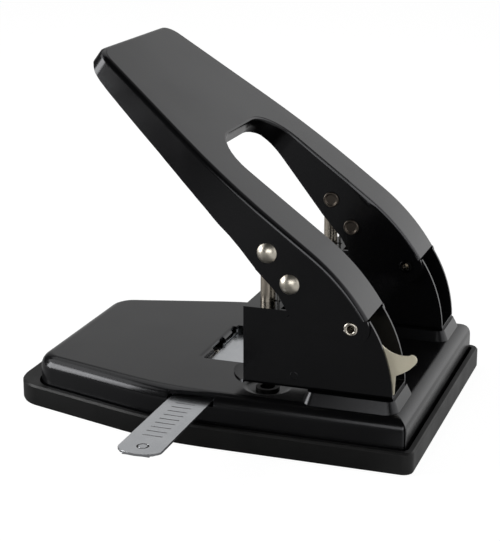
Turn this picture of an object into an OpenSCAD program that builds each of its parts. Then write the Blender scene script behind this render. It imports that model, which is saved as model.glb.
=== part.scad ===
// Two-hole desk punch: one pressed-steel lever drives two punches through two
// folded brackets that stand on a pressed base with a moulded chip tray below.
//
// Frame: X runs from the grip (-X) to the rear (+X), Y across, Z up.  The origin
// lies on the desk, midway between the two punches.  Sizes are in millimetres.

/* [Punching] */
// Distance between the centres of the two holes
hole_spacing = 80; // [70:1:80]
// Distance from the hole centres back to the pads that stop the paper
edge_distance = 15.6; // [12:0.1:17]
// Diameter of each punch
punch_d = 5.5; // [5:0.1:6]
// Running gap around each punch, on the radius
punch_gap = 0.05; // [0.02:0.01:0.1]
// Height of the paper gap under the brackets
throat_h = 3.8; // [3.6:0.1:4.4]
// Length of each punch
punch_l = 47.3; // [47:0.1:47.5]

/* [Base] */
// Height of the base's top face above the desk
base_top = 19.6; // [18:0.1:21]
// Width of the pressed base
base_w = 112.6; // [110:0.2:116]
// Rear end of the pressed base
base_rear = 56; // [55:0.5:58]
// Front end of the pressed base
base_front = -95.4; // [-97:0.2:-95]
// Radius of the base's rolled edges
base_roll = 5; // [4:0.5:6]
// Thickness of the pressed sheet
sheet_t = 1.2; // [1:0.1:1.4]

/* [Chip tray] */
// Width of the tray
tray_w = 119.2; // [118:0.2:122]
// Rear end of the tray
tray_rear = 59.2; // [58.5:0.1:61]
// Front end of the tray
tray_front = -104; // [-107:0.5:-103]
// Height of the tray's rim
tray_h = 8.6; // [8:0.1:10]
// Gap between the tray's rim and the pressed base
rim_gap = 0.9; // [0.5:0.1:1.2]
// Thickness of the tray's floor
tray_floor = 2; // [1.6:0.1:2.4]

/* [Brackets] */
// Width of each bracket over its cheeks
bracket_w = 19.2; // [18:0.1:19.2]
// Front face of the brackets
bracket_front = -6.1; // [-7:0.1:-5.6]
// Height of the top plate above the desk
bracket_top = 52.6; // [52:0.1:53]
// Rear end of the top plate
top_plate_rear = 7.5; // [7:0.1:8]
// Radius of the curved rear edge
rear_edge_r = 53.5; // [50:0.5:56]

/* [Handle] */
// Width of each arm over its cheeks
arm_w = 22.8; // [22.4:0.1:23]
// Slope of the raised handle, in degrees
handle_slope = 36.5; // [36:0.1:37]
// Angle at which each side of the grip widens, in degrees
grip_taper = 14.5; // [12:0.5:16]
// Where the sides of the grip become parallel, from the tip
taper_l = 91; // [88:1:94]
// Radius that blends the taper into the parallel sides
taper_blend_r = 180; // [150:5:200]
// Length of the flat top, from the tip
flat_l = 107; // [106:0.5:108]
// Radius of the curved end of the arms
arm_bend_r = 82; // [80:1:88]
// Fold radius along the outer top edges
fold_r = 2; // [1.6:0.1:2.4]
// Fold radius around the cut-out
inner_fold_r = 1.2; // [0.8:0.1:1.6]
// Where the cut-out between the arms begins, from the tip
cutout_start = 53; // [50:1:58]
// Radius of the cut-out's corners
cutout_r = 16; // [10:1:20]

/* [Pins] */
// Radius of the two cross pins in each arm
cross_pin_r = 2.25; // [2:0.05:2.25]
// Radius of the pins' domed heads
dome_r = 3.65; // [3.4:0.05:3.8]
// Shank radius of the hollow pivot pins
pivot_r = 1.9; // [1.8:0.05:2]
// Running gap around the pivot pins, on the radius
pivot_gap = 0.06; // [0.03:0.01:0.1]

/* [Return springs] */
// Wire diameter
wire_d = 0.9; // [0.8:0.05:1]
// Radius of the coil at the middle of the wire
coil_r = 3.9; // [3.8:0.05:4]
// Number of turns
coil_turns = 9; // [7:1:10]

/* [Paper guide] */
// Width of the sliding ruler
ruler_w = 16; // [15:0.5:16]
// Length of the ruler
ruler_l = 126; // [120:1:127]
// Thickness of the ruler
ruler_t = 0.9; // [0.8:0.1:1]
// Height of the ruler's upper face
ruler_top = 16.5; // [16.4:0.1:16.6]
// Y of the tip when the ruler is pulled out
ruler_tip = -106.5; // [-107:0.5:-104]

/* [Hidden] */

$fn = 64;
eps = 0.01;
RIGHT = -1;
LEFT = 1;
arm_y = hole_spacing / 2;

// Plan shape shared by the tray and the base
taper_angle = 16;
side_blend_x = -19;
side_blend_r = 120;
tray_gap = (tray_w - base_w) / 2;

// Heights
bracket_floor = base_top + throat_h;
bracket_in = bracket_w / 2 - sheet_t;
body_bottom = tray_floor + 1;
tip_rest = bracket_floor + 0.6;
punch_r = punch_d / 2;
punch_top = tip_rest + punch_l;
clip_t = 0.7;
clip_z = bracket_top - sheet_t - 0.1 - clip_t;

// Key points of the mechanism as [x, z]
pivot = [34.1, 49];
press_pin = [3.3, punch_top + cross_pin_r + 0.05];
stop_pin = [11.7, 63];
latch_pivot = [13, 28.5];
rear_edge_c = [-4.2, 22];
handle_tip = [-66.7, 138.5];
pivot_clear_r = 4.9;
heel_angle = 24;
heel_top_angle = 33.8;

// Latch and ruler
latch_y = -arm_y - bracket_in + 0.1;
latch_t = 1;
latch_rivet_r = 1.5;
ruler_x = -24.6;
guide_t = 0.9;
mark_pitch = 3.85;
mark_count = 9;

// ---------------------------------------------------------------- outlines

// Points on an arc from angle a0 to a1 in n steps
function arc(c, r, a0, a1, n) =
    [for (i = [0:n]) let (a = a0 + (a1 - a0) * i / n) c + r * [cos(a), sin(a)]];

// Lower half of the plan outline inset by d, from the rear to the front
function half_outline(w, rear, front, front_r, rear_r, blend_r, d) =
    let (h = w / 2,
         s = sin(taper_angle),
         c = cos(taper_angle),
         blend_c = [side_blend_x, blend_r - h],
         cx = front + front_r,
         cy = (-s * side_blend_x + c * (h - blend_r) + blend_r + s * cx - front_r) / c,
         rr = max(rear_r - d, 0.4))
    concat(
        arc([rear - d - rr, -h + d + rr], rr, 0, -90, 4),
        arc(blend_c, blend_r - d, -90, -90 - taper_angle, 4),
        arc([cx, -cy], front_r - d, -90 - taper_angle, -180, 10));

// Whole outline: the half and its mirror image
function mirrored(half) =
    concat(half, [for (i = [len(half) - 1:-1:0]) [half[i][0], -half[i][1]]]);

function body_outline(d) = mirrored(half_outline(base_w, base_rear, base_front,
    11, 1.5, side_blend_r - tray_gap, d));
function tray_outline(d) = mirrored(half_outline(tray_w, tray_rear, tray_front,
    14, 4, side_blend_r, d));

// Rounded rectangle from corner a to corner b
function round_rect(a, b, r) = concat(
    arc([b[0] - r, a[1] + r], r, -90, 0, 5),
    arc([b[0] - r, b[1] - r], r, 0, 90, 5),
    arc([a[0] + r, b[1] - r], r, 90, 180, 5),
    arc([a[0] + r, a[1] + r], r, 180, 270, 5));

// Thin slice of an outline at height z
module slice(points, z) {
    translate([0, 0, z]) linear_extrude(eps) polygon(points);
}

// Plate lying in the XZ plane between y0 and y1
module side_plate(points, y0, y1) {
    translate([0, y1, 0]) rotate([90, 0, 0]) linear_extrude(y1 - y0) polygon(points);
}

// Cylinder along Y at p = [x, z], between y0 and y1
module cross_cylinder(p, r, y0, y1) {
    translate([p[0], y1, p[1]]) rotate([90, 0, 0]) cylinder(h = y1 - y0, r = r);
}

// Puts a part that is drawn for the left bracket on either side
module on_side(side) {
    mirror([0, side == RIGHT ? 1 : 0, 0]) translate([0, arm_y, 0]) children();
}

// ------------------------------------------------------------------- base

// Block with the body's plan and a rolled top edge
module rolled_block(d, z0, z1, roll) {
    hull() {
        translate([0, 0, z0]) linear_extrude(z1 - roll - z0) polygon(body_outline(d));
        for (a = [15:15:90])
            slice(body_outline(d + roll * (1 - cos(a))), z1 - roll * (1 - sin(a)) - eps);
    }
}

// Raised pad that carries a bracket; its front edge stops the paper
pad_rear = 50;
pad_half_w = 11.2;
pad_slope = 2.3;
module pad(d, z0) {
    x0 = edge_distance + pad_slope + d;
    x1 = pad_rear - d;
    y1 = pad_half_w - d;
    hull() {
        slice(round_rect([x0, -y1], [x1, y1], 3 - d), bracket_floor - d - eps);
        slice(round_rect([x0 - pad_slope, -y1 - pad_slope], [x1 + pad_slope, y1 + pad_slope],
            4.5 - d), z0);
    }
}

die_r = 4.4;
die_flange_r = 5.8;
dish_r = 9.5;
dish_bottom_r = 6.4;
dish_depth = 1.1;
rivet_r = 1.5;
rivet_x = [22.5, 42];
window_min = [-33, -20.4];
window_max = [-14, 20.4];
lip_r = 2.5;

// Left edge of the window, curled down beside the ruler, with two notches
module window_lip() {
    difference() {
        translate([window_min[0] - lip_r, 18.7, base_top - lip_r]) rotate([90, 0, 0])
            linear_extrude(37.4) difference() {
                intersection() {
                    circle(r = lip_r);
                    square(lip_r);
                }
                circle(r = lip_r - 1);
            }
        for (y = [-7.2, 14.4])
            translate([window_min[0] - lip_r + 1, y, base_top - lip_r - 1])
                cube([lip_r, 13, lip_r + 2]);
    }
}

// Shallow round dish pressed into the sheet around a die, grown by g
module dish(g) {
    translate([0, 0, -dish_depth]) cylinder(h = dish_depth + eps, r1 = dish_bottom_r + g,
        r2 = dish_r + g);
}

module base_body() color("dimgray") {
    difference() {
        union() {
            rolled_block(0, body_bottom, base_top, base_roll);
            for (side = [RIGHT, LEFT])
                on_side(side) pad(0, base_top - 1.3);
        }
        difference() {
            rolled_block(sheet_t, body_bottom - 1, base_top - sheet_t, base_roll - sheet_t);
            for (side = [RIGHT, LEFT])
                on_side(side) translate([0, 0, base_top - sheet_t]) dish(1);
        }
        for (side = [RIGHT, LEFT]) on_side(side) {
            pad(sheet_t, base_top - sheet_t - 0.5);
            cylinder(h = base_top + 1, r = die_r);
            translate([0, 0, base_top]) dish(0);
            for (x = rivet_x)
                translate([x, 0, base_top]) cylinder(h = throat_h + 1, r = rivet_r);
        }
        // Window over the ruler, and the slot that it slides out of
        translate([window_min[0] - lip_r, window_min[1] + 1.7, base_top - sheet_t - 1])
            cube([window_max[0] - window_min[0], window_max[1] - window_min[1] - 3.4, 4]);
        translate([window_min[0], window_min[1], base_top - sheet_t - 1])
            cube([window_max[0] - window_min[0], window_max[1] - window_min[1], 4]);
        translate([ruler_x - ruler_w / 2 - 1.2, -base_w / 2 - 1, ruler_top - ruler_t - 0.4])
            cube([ruler_w + 2.4, 4, 10]);
        // Open seams where the side and rear flanges meet
        for (s = [-1, 1])
            translate([base_rear, s * base_w / 2, 0]) rotate([0, 0, s * 45])
                translate([-3, -0.25, 0]) cube([6, 0.5, base_top - 1.6]);
    }
    window_lip();
}

// Steel die under each punch, pressed up into the dish as far as its flange
die_top = base_top - 0.2;
die_flange_top = base_top - dish_depth - sheet_t;
module die(side) color("silver") on_side(side) {
    difference() {
        union() {
            translate([0, 0, die_flange_top - 2]) cylinder(h = 2, r = die_flange_r);
            translate([0, 0, die_flange_top]) cylinder(h = die_top - die_flange_top, r = die_r);
        }
        cylinder(h = base_top + 1, r = punch_r + punch_gap);
        cylinder(h = die_top - 2.5, r = punch_r + 0.5);
    }
}
module die_right() { die(RIGHT); }
module die_left() { die(LEFT); }

// Moulded tray that grips the lower edge of the body and catches the chips
module base_cover() color("#1c1c1c") {
    difference() {
        hull() {
            slice(tray_outline(1.2), 0);
            slice(tray_outline(0.35), 0.35);
            translate([0, 0, 1.2]) linear_extrude(tray_h - 2) polygon(tray_outline(0));
            slice(tray_outline(0.6), tray_h - eps);
        }
        translate([0, 0, tray_floor]) linear_extrude(tray_h) polygon(body_outline(-rim_gap));
    }
    // Ledge that the body's lower edge stands on, and ribs across the floor
    translate([0, 0, tray_floor - eps]) linear_extrude(body_bottom - tray_floor + eps)
        difference() {
            polygon(body_outline(-rim_gap - eps));
            polygon(body_outline(2.4));
        }
    for (x = [-70:35:35])
        translate([x, -44, tray_floor - eps]) cube([1.6, 88, 1.5]);
}

// ---------------------------------------------------------------- brackets

// Side view of a bracket cheek
cheek_points = concat(
    [[bracket_front, bracket_floor], [bracket_front, bracket_top], [14, bracket_top]],
    arc(pivot, pivot_clear_r, 104, heel_angle, 10),
    arc(rear_edge_c, rear_edge_r, heel_top_angle,
        asin((bracket_floor - rear_edge_c[1]) / rear_edge_r), 10));

// Cross-section of the folded channel, open at the top
module channel_section(h) {
    difference() {
        polygon(round_rect([-bracket_w / 2, 0], [bracket_w / 2, h + 10], 1.8));
        polygon(round_rect([-bracket_in, sheet_t], [bracket_in, h + 20], 0.6));
        translate([-bracket_w, h]) square([2 * bracket_w, 30]);
    }
}

// Runs a YZ cross-section along X between x0 and x1
module along_x(x0, x1) {
    translate([x0, 0, 0]) rotate([90, 0, 90]) linear_extrude(x1 - x0) children();
}

// Paper lead-in: the floor's front tongue, curled gently upwards
module lead_in() {
    curl_r = 18;
    reach = 6.4;
    tongue_r = 10.4;
    intersection() {
        translate([bracket_front + eps, 0, bracket_floor + curl_r]) rotate([90, 0, 0])
            translate([0, 0, -bracket_w / 2]) difference() {
                cylinder(h = bracket_w, r = curl_r);
                translate([0, 0, -1]) cylinder(h = bracket_w + 2, r = curl_r - sheet_t);
                translate([0, -curl_r, -1]) cube([curl_r, 2 * curl_r, bracket_w + 2]);
                translate([-curl_r, -curl_r + 6, -1]) cube([2 * curl_r, 2 * curl_r, bracket_w + 2]);
            }
        translate([bracket_front - reach + tongue_r, 0, bracket_floor - 1])
            cylinder(h = 12, r = tongue_r);
        translate([bracket_front - reach, -bracket_w / 2, 0]) cube([reach + 1, bracket_w, 60]);
    }
}

module bracket(side) color("#202020") on_side(side) {
    difference() {
        union() {
            intersection() {
                translate([0, 0, bracket_floor]) along_x(bracket_front, 60)
                    channel_section(pivot[1] + 10 - bracket_floor);
                side_plate(cheek_points, -bracket_w, bracket_w);
            }
            // Top plate folded over from the outer cheek, and front wall folded down
            translate([0, 0, bracket_top - sheet_t]) along_x(bracket_front, top_plate_rear)
                polygon([[-bracket_w / 2, -0.5], [bracket_w / 2, -0.5],
                    [bracket_w / 2, sheet_t - 0.6], [bracket_w / 2 - 0.6, sheet_t],
                    [-bracket_w / 2 + 0.6, sheet_t], [-bracket_w / 2, sheet_t - 0.6]]);
            translate([bracket_front, -bracket_in - eps, bracket_floor + 4])
                cube([sheet_t, 2 * (bracket_in + eps), bracket_top - bracket_floor - 5]);
            lead_in();
        }
        translate([bracket_front + sheet_t, -bracket_in, bracket_top - sheet_t - 1])
            cube([30, 2 * bracket_in, 1]);
        // Guide holes for the punch, and the slot for the spring's tail
        cylinder(h = 80, r = punch_r + punch_gap);
        translate([0, -0.8, bracket_top - 3]) cube([coil_r + 0.9, 1.6, 6]);
        for (x = rivet_x)
            translate([x, 0, bracket_floor - 1]) cylinder(h = 4, r = rivet_r);
        cross_cylinder(pivot, pivot_r, -bracket_w, bracket_w);
        if (side == RIGHT) cross_cylinder(latch_pivot, latch_rivet_r, 0, bracket_w);
    }
}
module bracket_right() { bracket(RIGHT); }
module bracket_left() { bracket(LEFT); }

// Four rivets that hold the bracket floors down on the pads
module bracket_rivets() color("silver") {
    for (side = [RIGHT, LEFT], x = rivet_x) on_side(side)
        translate([x, 0, bracket_floor + sheet_t]) rotate_extrude() polygon(concat(
            [[0, -2 * sheet_t - 1], [2.3, -2 * sheet_t - 1], [2.3, -2 * sheet_t],
             [rivet_r, -2 * sheet_t], [rivet_r, 0], [2.7, 0]],
            arc([0, -1.6], 3.14, 31, 90, 5)));
}

// ------------------------------------------------------------------ handle

// A point [x, z] in the handle's own frame: u runs down the top from the tip,
// n stands out of the top
function to_handle(p) =
    let (q = p - handle_tip, c = cos(handle_slope), s = sin(handle_slope))
    [q[0] * c - q[1] * s, q[0] * s + q[1] * c];

bend_c = [flat_l, -arm_bend_r];
bend_angle = 21.3;
pivot_u = to_handle(pivot);
boss_r = 6.6;
arm_outer = arm_y + arm_w / 2;
arm_inner = arm_y - arm_w / 2;
grip_end = 96;
grip_front = -1;
grip_corner_r = 8;
flange_depth = 7;
fold_lap = 1.5;
arm_step = 0.03;
cheek_half = arm_w / 2 - 3 * arm_step;
bend_lap = 0.7;

// Plan outline of one side of the grip in (u, v), inset by d
function grip_half(d) =
    let (t = grip_taper,
         blend_c = [taper_l, taper_blend_r - arm_outer],
         cu = grip_front + grip_corner_r,
         cv = (-sin(t) * blend_c[0] - cos(t) * blend_c[1] + taper_blend_r + sin(t) * cu
             - grip_corner_r) / cos(t))
    concat(
        [[grip_end, -arm_outer + d]],
        arc(blend_c, taper_blend_r - d, -90, -90 - t, 5),
        arc([cu, -cv], grip_corner_r - d, -90 - t, -180, 8));

module in_handle_frame() {
    translate([handle_tip[0], 0, handle_tip[1]]) rotate([0, handle_slope, 0]) children();
}

// Grip block with a rolled top edge; d is the inset and depth the lower end
module grip_block(d, roll, depth) {
    translate([0, 0, -depth]) linear_extrude(depth - d - roll) polygon(mirrored(grip_half(d)));
    hull() {
        slice(mirrored(grip_half(d)), -d - roll - eps);
        for (a = [18:18:90])
            slice(mirrored(grip_half(d + roll * (1 - cos(a)))), -d - roll * (1 - sin(a)) - eps);
    }
}

// Outline of the cut-out between the arms, grown by g
function cutout_points(g) =
    let (r = cutout_r + g, w = arm_inner + g, u = cutout_start - g)
    concat([[grip_end + 40, w]], arc([u + r, w - r], r, 90, 180, 8),
        arc([u + r, -w + r], r, 180, 270, 8), [[grip_end + 40, -w]]);

// Cutter for the cut-out, flared at the top to leave a rolled edge
module cutout_cutter() {
    r = inner_fold_r;
    rim = 0.15;
    translate([0, 0, -40]) linear_extrude(41) polygon(cutout_points(0));
    for (a = [0:45:45]) hull() {
        translate([0, 0, -r * (1 - sin(a))]) linear_extrude(rim)
            polygon(cutout_points(r * (1 - cos(a))));
        translate([0, 0, -r * (1 - sin(a + 45)) - rim]) linear_extrude(2 * rim)
            polygon(cutout_points(r * (1 - cos(a + 45))));
    }
}

// Side view of the outer skirt: the lower edge from the tip to the arm
outer_skirt = [[-2, 1], [-2, -6.2], [0.6, -6.4], [3.4, -7.6], [7, -8.4], [12, -9], [20, -9.6],
    [30, -10.3], [42, -11], [53, -11.9], [61, -12.7], [68, -13.5], [75, -14.5], [81, -15],
    [86.5, -16], [92, -17.3], [97, -18.5], [104, -19.5], [104, 1]];
// Side view of the flange around the cut-out
inner_skirt = [[cutout_start - 4, 0], [cutout_start - 4, -flange_depth],
    [cutout_start + 4, -flange_depth], [62.4, -8.4], [102.6, -19.6], [102.6, 0]];

// Arm cheek around the pivot, joined to the skirt at its start
function arm_cheek(skirt_n) = concat(
    [[grip_end - 1, skirt_n], [grip_end - 1, -fold_r - fold_lap / 2]],
    arc(bend_c, arm_bend_r - fold_r - fold_lap / 2, 92, 91 - bend_angle, 10),
    arc(pivot_u, boss_r, 64, -118, 16),
    arc(to_handle([13, 47.5]), 4, -140, -215, 5),
    [to_handle([7.3, 58.7]), [104, -19.5]]);

// Cross-section of one arm's top, folded down on both sides by the lap; k makes
// it a hair smaller all round than the length that it runs into
function arm_section(k) =
    let (h = arm_w / 2 - k, r = fold_r - sheet_t, low = -fold_r - fold_lap)
    concat(
        [[-h, low]],
        arc([-h + inner_fold_r, -inner_fold_r - k], inner_fold_r, 180, 90, 2),
        arc([h - fold_r, -fold_r - k], fold_r, 90, 0, 5),
        [[h, low], [h - sheet_t, low]],
        arc([h - fold_r, -fold_r - k], r, 0, 90, 5),
        [[-h + sheet_t, -sheet_t - k], [-h + sheet_t, low]]);

module arm(side) on_side(side) in_handle_frame() {
    along_x(grip_end - 1, flat_l) polygon(arm_section(arm_step));
    translate([bend_c[0], 0, bend_c[1]]) rotate([90, 0, 0]) rotate([0, 0, 90 - bend_angle])
        rotate_extrude(angle = bend_angle + bend_lap, $fn = 256)
            translate([arm_bend_r, 0]) rotate(-90) polygon(arm_section(2 * arm_step));
    side_plate(arm_cheek(-18.2), cheek_half - sheet_t, cheek_half);
    side_plate(arm_cheek(-17.6), -cheek_half, -cheek_half + sheet_t);
}

module handle() color("#2a2a2c") {
    difference() {
        union() {
            in_handle_frame() difference() {
                intersection() {
                    grip_block(0, fold_r, 30);
                    side_plate(outer_skirt, -60, 60);
                }
                difference() {
                    grip_block(sheet_t, fold_r - sheet_t, 40);
                    // Flange around the cut-out
                    intersection() {
                        translate([0, 0, -30]) linear_extrude(40)
                            polygon(cutout_points(sheet_t));
                        side_plate(inner_skirt, -60, 60);
                    }
                }
                cutout_cutter();
            }
            for (side = [RIGHT, LEFT]) arm(side);
        }
        for (side = [RIGHT, LEFT]) on_side(side) {
            cross_cylinder(pivot, pivot_r + pivot_gap, -arm_w, arm_w);
            cross_cylinder(press_pin, cross_pin_r, -arm_w, arm_w);
            cross_cylinder(stop_pin, cross_pin_r, -arm_w, arm_w);
        }
    }
}

// -------------------------------------------------------------------- pins

// Turns a profile in (r, y) about the cross axis through p = [x, z]
module cross_turned(p) {
    translate([p[0], 0, p[1]]) rotate([-90, 0, 0]) rotate_extrude() children();
}

// Solid pin with a domed head outside and a dished, peened end inside
module cross_pin(side, p) color("silver") on_side(side) cross_turned(p) polygon(concat(
    [[0, -arm_w / 2 - 0.25], [2, -arm_w / 2 - 0.25], [2.4, -arm_w / 2 - 0.75],
     [2.9, -arm_w / 2 - 0.75], [3.15, -arm_w / 2 - 0.4], [3.15, -arm_w / 2],
     [cross_pin_r, -arm_w / 2], [cross_pin_r, arm_w / 2], [dome_r, arm_w / 2]],
    arc([0, arm_w / 2 - 2.8], norm([dome_r, 3.1]), atan2(3.1, dome_r), 90, 8)));
module press_pin_right() { cross_pin(RIGHT, press_pin); }
module press_pin_left() { cross_pin(LEFT, press_pin); }
module stop_pin_right() { cross_pin(RIGHT, stop_pin); }
module stop_pin_left() { cross_pin(LEFT, stop_pin); }

// Hollow rivet with rolled ends that the arm turns on
module pivot_pin(side) color("silver") on_side(side) cross_turned(pivot) {
    bore = 1.25;
    ring = 0.65;
    e = cheek_half + 0.08;
    polygon(concat(
        [[bore, -e], [bore, e]],
        arc([bore + ring, e], ring, 180, 0, 8),
        [[pivot_r, e], [pivot_r, -e]],
        arc([bore + ring, -e], ring, 0, -180, 8)));
}
module pivot_pin_right() { pivot_pin(RIGHT); }
module pivot_pin_left() { pivot_pin(LEFT); }

// --------------------------------------------------- punches and springs

groove_r = 2.1;

// Punch with a hollow-ground cutting end and a groove for its clip
module punch(side) color("silver") on_side(side) {
    difference() {
        translate([0, 0, tip_rest]) cylinder(h = punch_l, r = punch_r);
        translate([-10, 0, tip_rest - 3.2]) rotate([0, 90, 0]) cylinder(h = 20, r = 4);
        translate([0, 0, clip_z]) difference() {
            cylinder(h = clip_t, r = punch_r + 1);
            translate([0, 0, -1]) cylinder(h = clip_t + 2, r = groove_r);
        }
        translate([0, 0, punch_top - 0.5]) difference() {
            cylinder(h = 1, r = punch_r + 1);
            translate([0, 0, -eps]) cylinder(h = 0.5 + 2 * eps, r1 = punch_r, r2 = punch_r - 0.5);
        }
    }
}
module punch_right() { punch(RIGHT); }
module punch_left() { punch(LEFT); }

// Spring clip in the groove; its mouth lets the spring's tail through
module clip(side) color("dimgray") on_side(side)
    translate([0, 0, clip_z]) linear_extrude(clip_t) difference() {
        circle(r = coil_r + wire_d / 2 + 0.2);
        circle(r = groove_r);
        polygon([[0, 0], [8, -5], [8, 5]]);
        square([4.6, 2 * groove_r - 0.6], center = true);
    }
module clip_right() { clip(RIGHT); }
module clip_left() { clip(LEFT); }

// Helical tube: rings of points along the coil, closed at both ends
coil_bottom = bracket_floor + sheet_t + wire_d / 2 + 0.05;
coil_top = clip_z - wire_d / 2 - 0.05;
ring_sides = 6;
rings_per_turn = 14;
rings = coil_turns * rings_per_turn;

function coil_point(i) =
    let (a = 360 * i / rings_per_turn, f = i / rings)
    [coil_r * cos(a), coil_r * sin(a), coil_bottom + (coil_top - coil_bottom) * f];
function ring_point(i, j) =
    let (a = 360 * i / rings_per_turn, b = 360 * j / ring_sides, r = wire_d / 2)
    coil_point(i) + r * [cos(b) * cos(a), cos(b) * sin(a), sin(b)];

module coil() {
    points = [for (i = [0:rings], j = [0:ring_sides - 1]) ring_point(i, j)];
    walls = [for (i = [0:rings - 1], j = [0:ring_sides - 1])
        let (k = (j + 1) % ring_sides, a = i * ring_sides, b = a + ring_sides)
        [a + j, a + k, b + k, b + j]];
    start = [[for (j = [ring_sides - 1:-1:0]) j]];
    end = [[for (j = [0:ring_sides - 1]) rings * ring_sides + j]];
    polyhedron(points = points, faces = concat(walls, start, end), convexity = 10);
}

// Return spring; its upper end is turned up through the bracket's top plate
tail_top = 56.8;
module return_spring(side) color("lightgray") on_side(side) {
    coil();
    translate([coil_r, 0, coil_top - 0.2])
        cylinder(h = tail_top - coil_top + 0.2, r = wire_d / 2, $fn = 16);
}
module return_spring_right() { return_spring(RIGHT); }
module return_spring_left() { return_spring(LEFT); }

// ------------------------------------------------------------------- latch

// Flat lever inside the right bracket: a thumb tab behind, a hook that swings
// over the stop pin when the handle is down
latch_points = concat(
    arc(latch_pivot, 3, 180, 270, 6),
    [[49.4, 25.3], [49.7, 32.4], [52.4, 33.8], [54.7, 35.4]],
    arc([55.3, 38.8], 1.9, -45, 95, 6),
    arc([52.3, 51], 11, -80, -155, 8),
    [[40.6, 44.6], [37, 42.6], [20.5, 41.6], [19.3, 48], [18.6, 57.6]],
    arc([17.4, 58.9], 1.2, 0, 90, 3),
    [[13.3, 60], [12.8, 57.7], [14.2, 57.4], [14.8, 52]]);

module lock_latch() color("#c8c4b4") {
    difference() {
        side_plate(latch_points, latch_y, latch_y + latch_t);
        cross_cylinder(latch_pivot, latch_rivet_r + pivot_gap, -50, -40);
    }
}

// Shouldered rivet that the latch turns on, flush with the cheek outside
module latch_rivet() color("#202020") {
    outside = -arm_y - bracket_w / 2;
    inside = latch_y + latch_t + 0.1;
    cross_cylinder(latch_pivot, latch_rivet_r, outside, inside);
    cross_cylinder(latch_pivot, 2.6, inside, inside + 0.9);
}

// ------------------------------------------------------------- paper guide

ruler_end = ruler_tip + ruler_l;

// Ruler outline: square inner end, drawn-in and rounded outer end
ruler_points = concat(
    [[ruler_w / 2, ruler_end], [-ruler_w / 2, ruler_end]],
    arc([-ruler_w / 2 + 3, ruler_tip + 5], 3, 180, 235, 4),
    arc([0, ruler_tip + 12], 12, -120, -60, 6),
    arc([ruler_w / 2 - 3, ruler_tip + 5], 3, -55, 0, 4));

module ruler() color("#b4b7ba") {
    translate([ruler_x, 0, ruler_top - ruler_t]) {
        difference() {
            linear_extrude(ruler_t) polygon(ruler_points);
            // Scale marks, pressed in
            for (i = [0:mark_count - 1])
                translate([-3.9, ruler_tip + 15.8 + i * mark_pitch, ruler_t - 0.1])
                    cube([7.5, 0.5, 1]);
            // Ring for the fingertip
            translate([0.2, ruler_tip + 6.8, ruler_t - 0.15]) difference() {
                cylinder(h = 1, r = 2.2);
                translate([0, 0, -1]) cylinder(h = 3, r = 1.6);
            }
        }
        // Turned-down edge at the outer end
        translate([-5, ruler_tip + 0.9, -0.3]) cube([10, 0.8, 0.5]);
    }
}

// Channel under the top plate that carries the ruler; its left wall is open at
// the spring, which stands on a shelf beside it
guide_gap = 0.25;
guide_low = ruler_top - ruler_t - guide_gap - guide_t;
guide_reach = ruler_w / 2 + guide_gap;
spring_y = [-19, 4];
module ruler_guide() color("darkgray") {
    high = base_top - sheet_t;
    translate([ruler_x, 0, 0]) {
        difference() {
            translate([-guide_reach - guide_t, -50, guide_low])
                cube([2 * (guide_reach + guide_t), 100, high - guide_low]);
            translate([-guide_reach, -51, guide_low + guide_t])
                cube([2 * guide_reach, 102, high]);
            translate([-guide_reach - guide_t - 1, spring_y[0], guide_low + guide_t])
                cube([guide_t + 2, spring_y[1] - spring_y[0], high]);
            // Clearance under the window's curled lip
            translate([-guide_reach - guide_t - 1, -19.5, base_top - lip_r - 0.1])
                cube([guide_t + 1.5, 39, high]);
        }
        translate([-guide_reach - 4.4, spring_y[0], guide_low])
            cube([4.4, spring_y[1] - spring_y[0], guide_t]);
    }
}

// Leaf with a rolled nose that bears on the ruler's edge and holds it where it
// is set; the nose shows in the notch of the window's lip
module ruler_spring() color("lightgray") {
    nose_r = 1.1;
    leaf_r = 45;
    leaf_t = 0.5;
    nose = [ruler_x - ruler_w / 2 - 0.03 - nose_r, -3.2];
    leaf_c = nose + [-leaf_r - 1, 0.2];
    translate([0, 0, guide_low + guide_t]) linear_extrude(1.5) polygon(concat(
        arc(leaf_c, leaf_r, -18, -0.5, 8),
        arc(nose, nose_r, 170, -117, 20),
        arc(leaf_c, leaf_r + leaf_t, -1.6, -18, 8)));
}

// --------------------------------------------------------------- placement

base_cover();
base_body();
die_right();
die_left();
bracket_right();
bracket_left();
bracket_rivets();
handle();
pivot_pin_right();
pivot_pin_left();
press_pin_right();
press_pin_left();
stop_pin_right();
stop_pin_left();
punch_right();
punch_left();
clip_right();
clip_left();
return_spring_right();
return_spring_left();
lock_latch();
latch_rivet();
ruler();
ruler_guide();
ruler_spring();
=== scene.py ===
"""Two-hole desk punch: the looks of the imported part, in its own frame, in metres."""

import logging
import math
from dataclasses import dataclass, field
from enum import Enum
from typing import Callable, Sequence

import bmesh
import bpy
from mathutils import Matrix, Vector

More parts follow.
